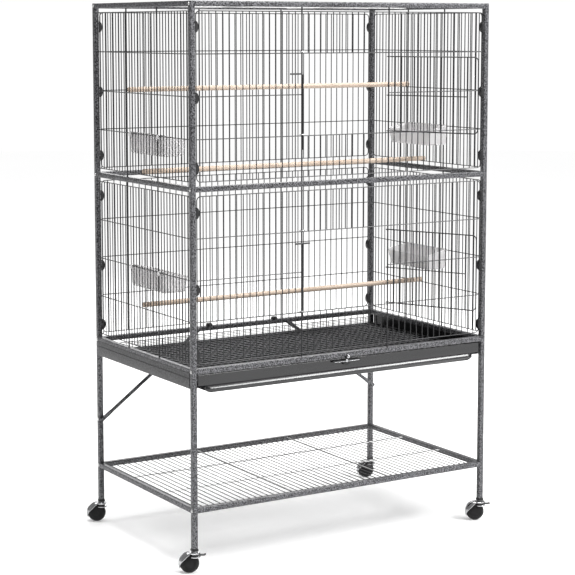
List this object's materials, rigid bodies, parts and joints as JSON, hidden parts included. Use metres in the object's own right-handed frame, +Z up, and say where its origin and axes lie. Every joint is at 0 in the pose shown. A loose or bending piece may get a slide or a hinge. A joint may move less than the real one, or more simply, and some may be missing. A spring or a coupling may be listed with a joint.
{
  "type": "bird cage on stand",
  "caption": "Tall wire flight cage in two tiers on a rolling stand, with front doors, drop latches, hanging feeders, perches, slide-out tray, storage shelf and swivel casters.",
  "frame": {"origin": "on the floor, under the middle of the whole outline with the doors standing open and the casters trailing", "axes": "+Z up; the doors, tray apron and latches face -Y; +X to the right seen from the front"},
  "size_m": [0.8947, 0.7525, 1.32],
  "materials": {
    "hammered_tube": "hammered powder coat, satin",
    "black_wire": "satin powder coat",
    "clear_plastic": "clear moulded plastic",
    "pale_wood": "bare turned dowel",
    "tray_plastic": "semi-gloss black",
    "latch_steel": "satin black with a bright knob",
    "chrome": "bright plate",
    "wheel_black": "moulded",
    "brake_black": "moulded"
  },
  "bodies": {
    "root": {"base_rail_back": "hammered_tube", "base_rail_front": "hammered_tube", "base_side_left": "hammered_tube", "base_side_right": "hammered_tube", "brace_left": "hammered_tube", "brace_right": "hammered_tube", "corner_post_back_left": "hammered_tube", "corner_post_back_right": "hammered_tube", "corner_post_front_left": "hammered_tube", "corner_post_front_right": "hammered_tube", "leg_back_left": "hammered_tube", "leg_back_right": "hammered_tube", "leg_front_left": "hammered_tube", "leg_front_right": "hammered_tube", "lower_panel_back": "black_wire", "lower_panel_front": "black_wire", "lower_panel_left": "black_wire", "lower_panel_right": "black_wire", "middle_rail_back": "hammered_tube", "middle_rail_front": "hammered_tube", "middle_rail_left": "hammered_tube", "middle_rail_right": "hammered_tube", "perch_lower_middle": "pale_wood", "perch_upper_middle": "pale_wood", "perch_upper_rear": "pale_wood", "shelf_deck": "black_wire", "shelf_rail_back": "hammered_tube", "shelf_rail_front": "hammered_tube", "shelf_rail_left": "hammered_tube", "shelf_rail_right": "hammered_tube", "top_panel": "black_wire", "top_rail_back": "hammered_tube", "top_rail_front": "hammered_tube", "top_rail_left": "hammered_tube", "top_rail_right": "hammered_tube", "upper_panel_back": "black_wire", "upper_panel_front": "black_wire", "upper_panel_left": "black_wire", "upper_panel_right": "black_wire"},
    "caster_swivel_front_left": {"caster_housing_front_left": "chrome"},
    "caster_roll_front_left": {"caster_wheel_front_left": "wheel_black"},
    "brake_front_left": {"caster_brake_front_left": "brake_black"},
    "caster_swivel_front_right": {"caster_housing_front_right": "chrome"},
    "caster_roll_front_right": {"caster_wheel_front_right": "wheel_black"},
    "brake_front_right": {"caster_brake_front_right": "brake_black"},
    "caster_swivel_back_left": {"caster_housing_back_left": "chrome"},
    "caster_roll_back_left": {"caster_wheel_back_left": "wheel_black"},
    "caster_swivel_back_right": {"caster_housing_back_right": "chrome"},
    "caster_roll_back_right": {"caster_wheel_back_right": "wheel_black"},
    "lower_door": {"lower_door": "black_wire"},
    "lower_door_latch": {"lower_door_latch": "black_wire"},
    "lower_feeder_left": {"lower_feeder_left": "clear_plastic"},
    "lower_feeder_right": {"lower_feeder_right": "clear_plastic"},
    "upper_door": {"upper_door": "black_wire"},
    "upper_door_latch": {"upper_door_latch": "black_wire"},
    "upper_feeder_left": {"upper_feeder_left": "clear_plastic"},
    "upper_feeder_right": {"upper_feeder_right": "clear_plastic"},
    "tray": {"tray": "tray_plastic"},
    "grate": {"grate": "black_wire"},
    "tray_latch": {"tray_latch": "latch_steel"}
  },
  "joints": [
    {"name": "caster_swivel_front_left", "type": "hinge", "parent": "root", "child": "caster_swivel_front_left", "pos_m": [-0.417, -0.1558, 0.052], "axis": [0, 0, 1], "continuous": true},
    {"name": "caster_roll_front_left", "type": "hinge", "parent": "caster_swivel_front_left", "child": "caster_roll_front_left", "pos_m": [-0.42739, -0.1498, 0.023], "axis": [-0.5, -0.866, 0], "continuous": true},
    {"name": "caster_brake_front_left", "type": "hinge", "parent": "caster_swivel_front_left", "child": "brake_front_left", "pos_m": [-0.40618, -0.16205, 0.0425], "axis": [-0.5, -0.866, 0], "range_deg": [-20, 0]},
    {"name": "caster_swivel_front_right", "type": "hinge", "parent": "root", "child": "caster_swivel_front_right", "pos_m": [0.417, -0.1558, 0.052], "axis": [0, 0, 1], "continuous": true},
    {"name": "caster_roll_front_right", "type": "hinge", "parent": "caster_swivel_front_right", "child": "caster_roll_front_right", "pos_m": [0.40661, -0.1498, 0.023], "axis": [-0.5, -0.866, 0], "continuous": true},
    {"name": "caster_brake_front_right", "type": "hinge", "parent": "caster_swivel_front_right", "child": "brake_front_right", "pos_m": [0.42783, -0.16205, 0.0425], "axis": [-0.5, -0.866, 0], "range_deg": [-20, 0]},
    {"name": "caster_swivel_back_left", "type": "hinge", "parent": "root", "child": "caster_swivel_back_left", "pos_m": [-0.417, 0.3442, 0.052], "axis": [0, 0, 1], "continuous": true},
    {"name": "caster_roll_back_left", "type": "hinge", "parent": "caster_swivel_back_left", "child": "caster_roll_back_left", "pos_m": [-0.42739, 0.3502, 0.023], "axis": [-0.5, -0.866, 0], "continuous": true},
    {"name": "caster_swivel_back_right", "type": "hinge", "parent": "root", "child": "caster_swivel_back_right", "pos_m": [0.417, 0.3442, 0.052], "axis": [0, 0, 1], "continuous": true},
    {"name": "caster_roll_back_right", "type": "hinge", "parent": "caster_swivel_back_right", "child": "caster_roll_back_right", "pos_m": [0.40661, 0.3502, 0.023], "axis": [-0.5, -0.866, 0], "continuous": true},
    {"name": "lower_door_hinge", "type": "hinge", "parent": "root", "child": "lower_door", "pos_m": [0.1239, -0.1558, 0.58977], "axis": [0, 0, 1], "range_deg": [-115, 50]},
    {"name": "lower_door_latch_slide", "type": "slide", "parent": "root", "child": "lower_door_latch", "axis": [0, 0, 1], "range_m": [0, 0.045]},
    {"name": "lower_feeder_left_lift", "type": "slide", "parent": "root", "child": "lower_feeder_left", "axis": [0, 0, 1], "range_m": [0, 0.012]},
    {"name": "lower_feeder_right_lift", "type": "slide", "parent": "root", "child": "lower_feeder_right", "axis": [0, 0, 1], "range_m": [0, 0.012]},
    {"name": "upper_door_hinge", "type": "hinge", "parent": "root", "child": "upper_door", "pos_m": [0.1239, -0.1558, 1.00984], "axis": [0, 0, 1], "range_deg": [-115, 50]},
    {"name": "upper_door_latch_slide", "type": "slide", "parent": "root", "child": "upper_door_latch", "axis": [0, 0, 1], "range_m": [0, 0.045]},
    {"name": "upper_feeder_left_lift", "type": "slide", "parent": "root", "child": "upper_feeder_left", "axis": [0, 0, 1], "range_m": [0, 0.012]},
    {"name": "upper_feeder_right_lift", "type": "slide", "parent": "root", "child": "upper_feeder_right", "axis": [0, 0, 1], "range_m": [0, 0.012]},
    {"name": "tray_slide", "type": "slide", "parent": "root", "child": "tray", "axis": [0, -1, 0], "range_m": [0, 0.4]},
    {"name": "grate_lift", "type": "slide", "parent": "tray", "child": "grate", "axis": [0, 0, 1], "range_m": [0, 0.018]},
    {"name": "tray_latch_turn", "type": "hinge", "parent": "tray", "child": "tray_latch", "pos_m": [0, -0.16275, 0.45935], "axis": [0, 1, 0], "range_deg": [-90, 90]}
  ]
}
